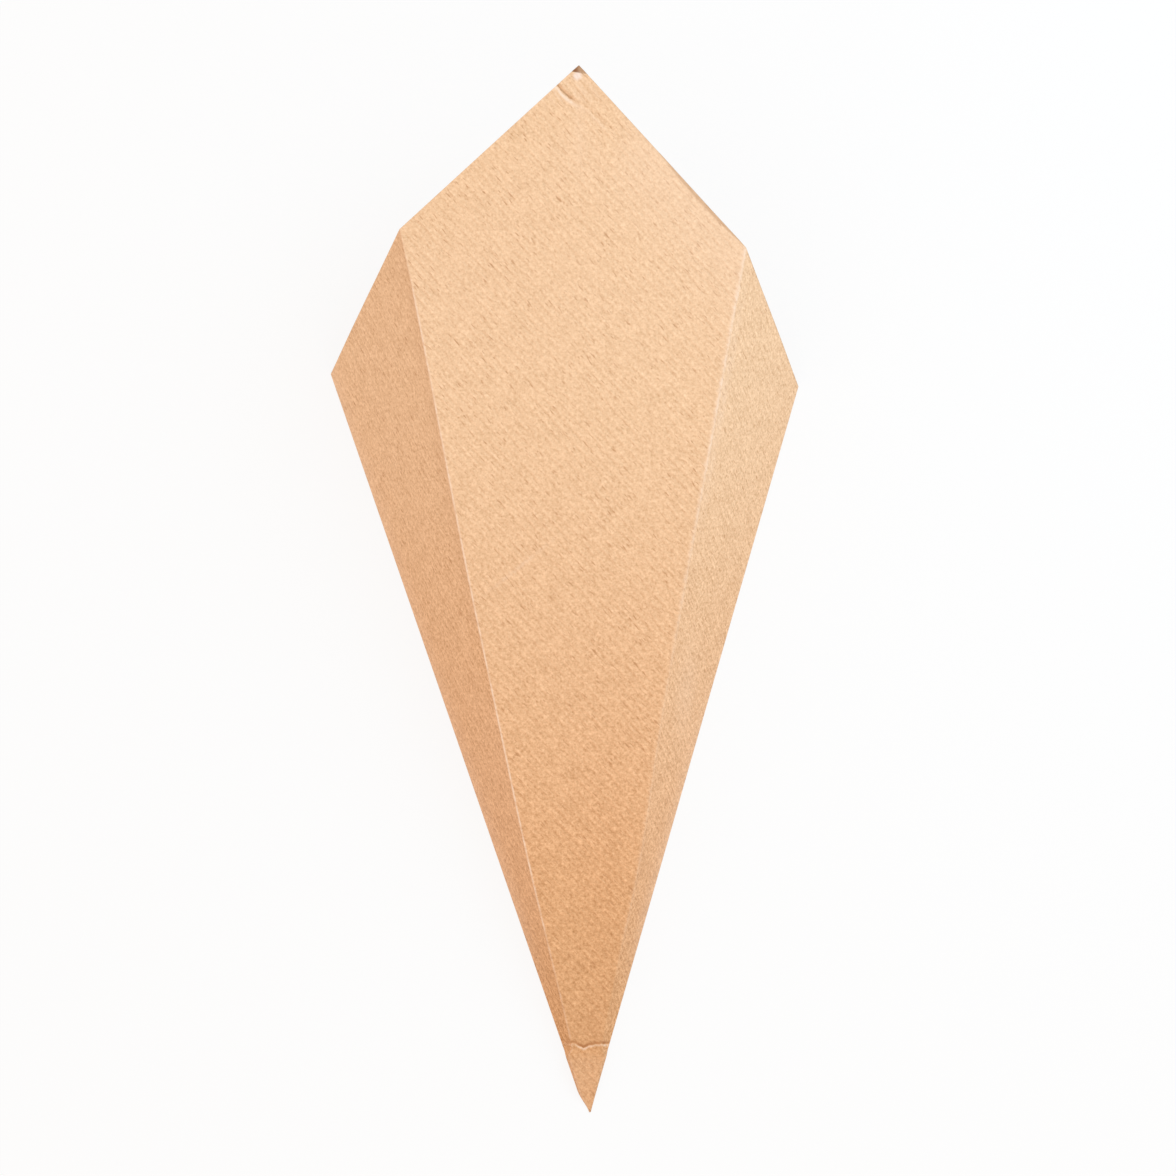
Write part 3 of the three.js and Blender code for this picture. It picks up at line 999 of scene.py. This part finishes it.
@dataclass
class ConeBag:
    """The folded sheet as one piece of paper with its real thickness."""

    sizes: SheetSizes = field(default_factory=SheetSizes)
    handling: Handling = field(default_factory=Handling)
    paper: KraftPaper = field(default_factory=KraftPaper)
    flap_columns: int = 10
    side_columns: int = 30
    bend_columns: int = 6
    front_columns: int = 19
    peak_columns: int = 38
    peak_share: float = 0.16

    def __post_init__(self) -> None:
        """Folds the sheet, and finds its place in the frame."""
        self.folded = FoldedSheet(self.sizes, self.handling)
        self.points = self._sheet_points()
        self.shift = self._shift_to_frame()

    def _column_numbers(self) -> Array:
        """Places of the columns: a whole number at each end of a flap, bend or panel."""
        near = 1.0 - self.peak_share
        knots = (0, 1, 2, 3, 4, 4 + near, 6 - near, 6, 7, 8, 9, 10)
        side = (self.flap_columns, self.bend_columns, self.side_columns, self.bend_columns)
        front = (self.front_columns, 2 * self.peak_columns, self.front_columns)
        spans = zip(knots, knots[1:], side + front + side[::-1])
        runs = [np.linspace(start, end, count, endpoint=False) for start, end, count in spans]
        return np.append(np.concatenate(runs), knots[-1])

    def _column_angles(self, numbers: Array, reach: Array) -> Array:
        """Angles on the sheet of columns at given distances from the tip.

        Args:
            numbers: Places of the columns, as _column_numbers gives them.
            reach: Distances from the tip, one to a column or one to each of its points.

        Returns:
            The angles, in degrees from the diagonal.
        """
        folds = self.folded.fold_angles_at(reach)
        feet = np.degrees(np.arcsin(self.folded.feet(reach) / reach[..., None]))
        knots = [np.full(reach.shape, self.sizes.left_edge_angle)]
        for fold in Fold:
            if fold is Fold.FRONT_RIGHT:
                knots.append(np.zeros(reach.shape))
            knots.append(folds[..., fold] + feet[..., fold])
            knots.append(folds[..., fold] - feet[..., fold])
        knots.append(np.full(reach.shape, self.sizes.right_edge_angle))
        stack = np.stack(knots, axis=-1)
        wide = np.broadcast_to(numbers, reach.shape)
        low = np.clip(np.floor(wide).astype(int), 0, len(knots) - 2)
        start, end = pick(stack, low), pick(stack, low + 1)
        return start + (end - start) * (wide - low)

    def _reaches(self, ends: Array) -> Array:
        """Distances of the rows from the tip: close at the tip, at the peak and at the edge.

        Args:
            ends: Length of each column.

        Returns:
            One row of distances to each step, one entry to each column.
        """
        tip, plain, crown = 27.0, 16.0, 2.0
        fixed = np.concatenate([
            np.linspace(self.sizes.tip_blunt, 15.5, 14, endpoint=False),
            np.linspace(15.5, 22.0, 36, endpoint=False),
            np.linspace(22.0, tip, 6, endpoint=False),
        ])
        rows = [np.full(ends.shape, reach) for reach in fixed]
        stretches = (
            (np.full(ends.shape, tip), ends - plain, 76),
            (ends - plain, ends - crown, 34),
            (ends - crown, ends, 9),
        )
        for start, end, count in stretches:
            rows += [start + (end - start) * step / count for step in range(count)]
        rows.append(ends)
        return np.stack(rows)

    def _sheet_points(self) -> SheetPoints:
        """All points of the sheet, as rows of columns."""
        numbers = self._column_numbers()
        ends = np.full(numbers.shape, self.sizes.left_edge)
        for _ in range(12):
            ends = self.sizes.mouth_reach(self._column_angles(numbers, ends))
        reach = self._reaches(ends)
        return self.folded.points(self._column_angles(numbers, reach), reach)

    def _pressed_tip(self, places: Array) -> Array:
        """Flattens the last millimetres, and pulls their left side in, as the tip is bent."""
        handling, reach, blunt = self.handling, self.points.reach, self.sizes.tip_blunt
        flat = handling.tip_flatness
        flat = flat + (1 - flat) * smooth_step(reach, blunt, handling.tip_flat_to)
        floor = self.sizes.paper
        half = reach * np.sin(np.radians(self.sizes.back / 2))
        leftness = np.clip((half - places[..., 0]) / (2 * half), 0.0, 1.0)
        pull = handling.tip_pull * (1 - smooth_step(reach, blunt, handling.tip_pull_to))
        pressed = places.copy()
        pressed[..., 0] += pull * leftness
        pressed[..., 2] = floor + (places[..., 2] - floor) * flat
        return pressed

    def _give(self) -> Array:
        """How freely the paper may wave: not at folds, on the back, or at the far ends."""
        handling, points, reach = self.handling, self.points, self.points.reach
        to_fold = np.min([np.abs(points.turn(fold)) for fold in Fold], axis=0)
        give = smooth_step(reach * to_fold, *handling.cockle_margin)
        give *= smooth_step(reach, *handling.cockle_rise)
        give *= 1 - smooth_step(reach, *handling.cockle_fade)
        front = (points.turn(Fold.BACK_LEFT) > 0) & (points.turn(Fold.BACK_RIGHT) < 0)
        return np.where(front, give, 0.0)

    def _wear_and_painted_roll_shade(self) -> Array:
        """How worn the surface is at the back folds, above 0, and the painted shade under the rolled
        edge, below 0.
        """
        reach = self.points.reach
        turns = [self.points.turn(fold) for fold in (Fold.BACK_LEFT, Fold.BACK_RIGHT)]
        crest = np.max([bell(reach * np.sin(turn), 0.0, 0.5) for turn in turns], axis=0)
        _, into = self.folded.rolled_edge(self.points)
        pale_mark = self.paper.fold_wear * crest * smooth_step(reach, 20.0, 30.0)
        return pale_mark - self.paper.roll_shade * smooth_step(into, 0.02, 0.6)

    def _off_creases(self) -> Array:
        """Distances to the right of the two front creases."""
        turns = [self.points.turn(fold) for fold in (Fold.FRONT_LEFT, Fold.FRONT_RIGHT)]
        left, right = (self.points.reach * np.sin(turn) for turn in turns)
        return np.stack([left, right, np.zeros_like(left)], axis=-1)

    def _off_grooves(self) -> Array:
        """Distances above the tip's and the peak's groove, and the strength of the latter."""
        peak, strength = self.folded.off_peak_groove(self.points)
        return np.stack([self.folded.off_tip_groove(self.points), peak, strength], axis=-1)

    def _areas_of_tone_and_painted_light(self) -> Array:
        """Broad paler areas, above 0, and darker ones, below 0. Most are painted light and shade: the
        lower side panels paler as if lit from the floor, the bent tip paler and the band above it
        darker as if they faced towards and away from the lamp, and the front's right rim paler and its
        left rim near the peak darker as if the panel bent. The others are broad paler and darker
        patches.
        """
        points, sizes = self.points, self.sizes
        reach, across, up = points.reach, points.across, points.up
        left, right = points.turn(Fold.FRONT_LEFT) < 0, points.turn(Fold.FRONT_RIGHT) > 0
        front = ~(left | right)
        by_left = bell(reach * points.turn(Fold.FRONT_LEFT), 0.0, 4.0)
        out_left = reach * points.turn(Fold.BACK_LEFT)
        out_right = reach * points.turn(Fold.BACK_RIGHT)
        from_left = points.from_edge(sizes.left_edge, sizes.left_edge_angle)
        from_right = points.from_edge(sizes.right_edge, sizes.right_edge_angle)
        from_peak = np.hypot(across, up - sizes.diagonal)
        near_peak = 1 - smooth_step(from_peak, 50.0, 75.0)
        low = 1 - smooth_step(reach, 70.0, 150.0)
        ample = smooth_step(reach, 25.0, 60.0)
        areas = {
            "lower left side": 0.13 * left * ample * low,
            "outer left fold": 0.22 * left * ample * bell(out_left, 0.0, 4.5),
            "lower right side": 0.08 * right * ample * low,
            "outer right fold": 0.2 * right * ample * low * bell(out_right, 0.0, 4.0),
            "inner left side": -0.15 * left * by_left * smooth_step(reach, 100.0, 140.0),
            "upper right side": -0.06 * right * bell(out_right, 0.0, 9.0)
            * smooth_step(reach, 170.0, 200.0),
            "patch on the right": 0.15 * bell(across, 31.0, 5.0) * bell(up, 108.0, 12.0),
            "right rim": 0.2 * front * bell(from_right, 0.0, 14.0)
            * smooth_step(from_peak, 12.0, 32.0),
            "left rim": -0.06 * front * bell(from_left, 0.0, 9.0) * near_peak,
            "below the peak": 0.1 * bell(across, -0.1, 1.5) * bell(up, 253.0, 10.0),
            "right of the peak": -0.07 * bell(across, 7.5, 3.0) * bell(up, 250.0, 9.0),
            "bent tip": 0.1 * (1 - smooth_step(reach, 15.0, 19.5)),
            "upper front": 0.05 * front * smooth_step(reach, 175.0, 215.0),
            "above the tip": -0.13 * front * bell(reach, 24.0, 6.0),
        }
        return sum(areas.values())

    def _middle_layer(self) -> Array:
        """Places of the paper's middle layer, with all its marks of use."""
        places, outwards = self.folded.place(self.points)
        return self._pressed_tip(places + outwards * self.folded.relief(self.points)[..., None])

    def _shift_to_frame(self) -> Array:
        """The move that puts the plainly folded sheet into the solid's box."""
        places, outwards = self.folded.place(self.points)
        half = outwards * self.sizes.paper / 2
        corners = np.stack([places + half, places - half]).reshape(-1, 3)
        low, high = corners.min(axis=0), corners.max(axis=0)
        box_low, box_high = (np.array(corner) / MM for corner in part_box("paper_cone"))
        shift = (box_low + box_high) / 2 - (low + high) / 2
        shift[2] = box_low[2] - low[2]
        return shift

    def _mesh(self) -> bpy.types.Mesh:
        """Builds the closed mesh: outer face, inner face and cut edges."""
        middle = self._middle_layer()
        outwards = unit(np.cross(np.gradient(middle, axis=1), np.gradient(middle, axis=0)))
        outwards[self._on_back()] = (0.0, 0.0, -1.0)
        half = outwards * self.sizes.paper / 2
        layers = np.stack([middle + half, middle - half]) + self.shift
        faces, cut = self._faces(*self.points.reach.shape)
        mesh = bpy.data.meshes.new("paper_cone_sheet")
        mesh.from_pydata((layers.reshape(-1, 3) * MM).tolist(), [], faces.tolist())
        mesh.polygons.foreach_set("use_smooth", np.arange(len(faces)) < cut)
        up = self.points.up
        stored = {
            "sheet": np.stack([self.points.across, up, np.zeros_like(up)], axis=-1),
            "outwards": outwards,
            "give": self._give(),
            # Wear at the back folds, and painted shade under the rolled edge.
            "wear_and_painted_shade": self._wear_and_painted_roll_shade(),
            # Broad paler and darker areas, mostly painted light and shade.
            "tone_and_painted_light": self._areas_of_tone_and_painted_light(),
            "creases": self._off_creases(),
            "grooves": self._off_grooves(),
        }
        for name, values in stored.items():
            self._store(mesh, name, values)
        mesh.validate()
        mesh.update()
        return mesh

    def _on_back(self) -> Array:
        """Which points lie on one of the two flaps, clear of the bends."""
        feet = self.folded.feet(self.points.reach) / self.points.reach[..., None]
        left = -self.points.turn(Fold.BACK_LEFT) > feet[..., Fold.BACK_LEFT]
        return left | (self.points.turn(Fold.BACK_RIGHT) > feet[..., Fold.BACK_RIGHT])

    @staticmethod
    def _store(mesh: bpy.types.Mesh, name: str, values: Array) -> None:
        """Writes numbers or vectors for the sheet's points to both faces of the paper."""
        kind, key = ("FLOAT_VECTOR", "vector") if values.ndim == 3 else ("FLOAT", "value")
        both = np.concatenate([values, values]).astype(np.float32).ravel()
        mesh.attributes.new(name, kind, "POINT").data.foreach_set(key, both)

    @staticmethod
    def _faces(rows: int, columns: int) -> tuple[Array, int]:
        """Four-sided faces of the closed sheet.

        Args:
            rows: Rows of points.
            columns: Points in a row.

        Returns:
            The faces, and the number of those before the first face of a cut edge.
        """
        numbers = np.arange(rows * columns).reshape(rows, columns)
        below = rows * columns
        first, right = numbers[:-1, :-1].ravel(), numbers[:-1, 1:].ravel()
        upper, far = numbers[1:, :-1].ravel(), numbers[1:, 1:].ravel()
        outer = np.stack([first, right, far, upper], axis=1)
        inner = np.stack([first, upper, far, right], axis=1) + below
        rim = np.concatenate([
            numbers[0, :], numbers[1:, -1], numbers[-1, -2::-1], numbers[-2:0:-1, 0],
        ])
        after = np.roll(rim, -1)
        cut = np.stack([rim, rim + below, after + below, after], axis=1)
        return np.concatenate([outer, inner, cut]), len(outer) + len(inner)

    def build(self) -> bpy.types.Object:
        """Makes the bag, dresses it and puts it in place of the plain solid.

        Returns:
            The finished piece.
        """
        bag = bpy.data.objects.new("kraft_paper_cone", self._mesh())
        bpy.context.scene.collection.objects.link(bag)
        paper = PaperTree(self.paper, self.sizes, self.handling).build()
        Cockle(self.handling.cockle_height, self.handling.cockle_size).apply(bag, paper)
        bag.data.name = "kraft_paper_cone"
        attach(bag, "root")
        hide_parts("paper_cone")
        log.info("kraft_paper_cone: %d faces", len(bag.data.polygons))
        return bag


@dataclass
class Studio:
    """The pale floor, the soft light and the camera, which looks square on to the front."""

    folded: FoldedSheet
    shift: Array
    view_distance: float = 2000.0
    view_width: float = 299.5
    aim_right: float = 0.03
    aim_up: float = 135.68
    view_turn: float = 0.489
    view_lean: float = 0.57
    sensor: float = 36.0
    room_light: tuple[float, float, float, float] = (0.925, 0.80, 0.715, 1.0)
    lamp_colour: tuple[float, float, float] = (0.33, 0.72, 1.0)
    lamp_power: float = 2.1
    lamp_size: float = 550.0
    lamp_distance: float = 700.0
    lamp_direction: tuple[float, float, float] = (0.61, 0.35, 0.71)
    floor_size: float = 6000.0
    floor_gap: float = 0.02
    floor_colour: Colour = (0.8, 0.8, 0.8, 1.0)
    shown_floor: Colour = (0.13, 0.13, 0.13, 1.0)
    shown_glow: float = 0.855
    shown_room: Colour = (1.0, 1.0, 1.0, 1.0)

    def camera(self) -> None:
        """Makes the camera over the middle of the picture, with the tip towards its foot."""
        normal = self.folded.front_normal
        diagonal = self.folded.diagonal_direction
        right = np.cross(diagonal, normal)
        turn = np.radians(self.view_turn)
        upright = diagonal * np.cos(turn) + right * np.sin(turn)
        right = np.cross(upright, normal)
        lean = np.radians(self.view_lean)
        up = upright * np.cos(lean) + normal * np.sin(lean)
        normal = normal * np.cos(lean) - upright * np.sin(lean)
        start = np.array([0.0, 0.0, self.folded.sizes.paper]) + self.shift
        aim = start + right * self.aim_right + up * self.aim_up
        place = (aim + normal * self.view_distance) * MM
        data = bpy.data.cameras.new("view")
        data.sensor_width = self.sensor
        data.lens = self.sensor * self.view_distance / self.view_width
        camera = bpy.data.objects.new("view", data)
        turned = Matrix((right, up, normal)).transposed().to_4x4()
        camera.matrix_world = Matrix.Translation(Vector(place)) @ turned
        bpy.context.scene.collection.objects.link(camera)
        bpy.context.scene.camera = camera
        log.info("camera: lens %.1f mm", data.lens)

    def floor(self) -> None:
        """Makes the pale floor, which keeps the bag's shadow and shows nearly white."""
        half = self.floor_size / 2 * MM
        corners = [(-half, -half, 0), (half, -half, 0), (half, half, 0), (-half, half, 0)]
        mesh = bpy.data.meshes.new("floor")
        mesh.from_pydata(corners, [], [(0, 1, 2, 3)])
        floor = bpy.data.objects.new("floor", mesh)
        floor.location.z = float(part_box("paper_cone")[0][2]) - self.floor_gap * MM
        bpy.context.scene.collection.objects.link(floor)
        mesh.materials.append(self._floor_material())

    @staticmethod
    def _split_by_ray(bench: NodeBench, lights: object, shown: object, output: str) -> None:
        """Ends a tree in which one shader gives light and another one is seen.

        Args:
            bench: The tree's bench.
            lights: The shader that lights the bag.
            shown: The shader for what the camera sees, directly, in a gloss or through glass.
            output: Type name of the output node.
        """
        path = bench.add("ShaderNodeLightPath").outputs
        seen = bench.math("MAXIMUM", path["Is Camera Ray"], path["Is Glossy Ray"])
        seen = bench.math("MAXIMUM", seen, path["Is Transmission Ray"])
        mixed = bench.add("ShaderNodeMixShader", {0: seen, 1: lights, 2: shown})
        bench.add(output, {"Surface": mixed.outputs[0]})

    def _floor_material(self) -> bpy.types.Material:
        """White that lights the bag as a pale floor does, and shows as a white sheet."""
        material = bpy.data.materials.new("white_floor")
        bench = NodeBench.emptied(material)
        matt = bench.add("ShaderNodeBsdfDiffuse", {"Color": self.floor_colour}).outputs[0]
        dim = bench.add("ShaderNodeBsdfDiffuse", {"Color": self.shown_floor}).outputs[0]
        glow = bench.add("ShaderNodeEmission", {"Strength": self.shown_glow}).outputs[0]
        shown = bench.add("ShaderNodeAddShader", {0: dim, 1: glow}).outputs[0]
        self._split_by_ray(bench, matt, shown, "ShaderNodeOutputMaterial")
        return material

    def world(self) -> None:
        """Makes the even light of a white room, shown as plain white."""
        world = bpy.data.worlds.new("white_room")
        bpy.context.scene.world = world
        bench = NodeBench.emptied(world)
        light = bench.add("ShaderNodeBackground", {"Color": self.room_light}).outputs[0]
        shown = bench.add("ShaderNodeBackground", {"Color": self.shown_room}).outputs[0]
        self._split_by_ray(bench, light, shown, "ShaderNodeOutputWorld")

    def lamp(self) -> None:
        """Makes the soft lamp beyond the mouth, to the right."""
        data = bpy.data.lights.new("soft_lamp", "AREA")
        data.shape = "DISK"
        data.size = self.lamp_size * MM
        data.energy = self.lamp_power
        data.color = self.lamp_colour
        lamp = bpy.data.objects.new("soft_lamp", data)
        direction = Vector(self.lamp_direction).normalized()
        lamp.location = direction * self.lamp_distance * MM
        lamp.rotation_euler = direction.to_track_quat("Z", "Y").to_euler()
        bpy.context.scene.collection.objects.link(lamp)
        log.info("lamp: %.1f W", self.lamp_power)

    def build(self) -> None:
        """Sets up everything that isn't part of the bag."""
        self.camera()
        self.floor()
        self.world()
        self.lamp()
        bpy.context.scene.view_settings.view_transform = "Standard"


def main() -> None:
    """Builds the bag, then its floor, its light and the camera."""
    logging.basicConfig(level=logging.INFO, format="%(name)s %(message)s")
    bag = ConeBag()
    bag.build()
    Studio(bag.folded, bag.shift).build()


if __name__ == "__main__":
    main()
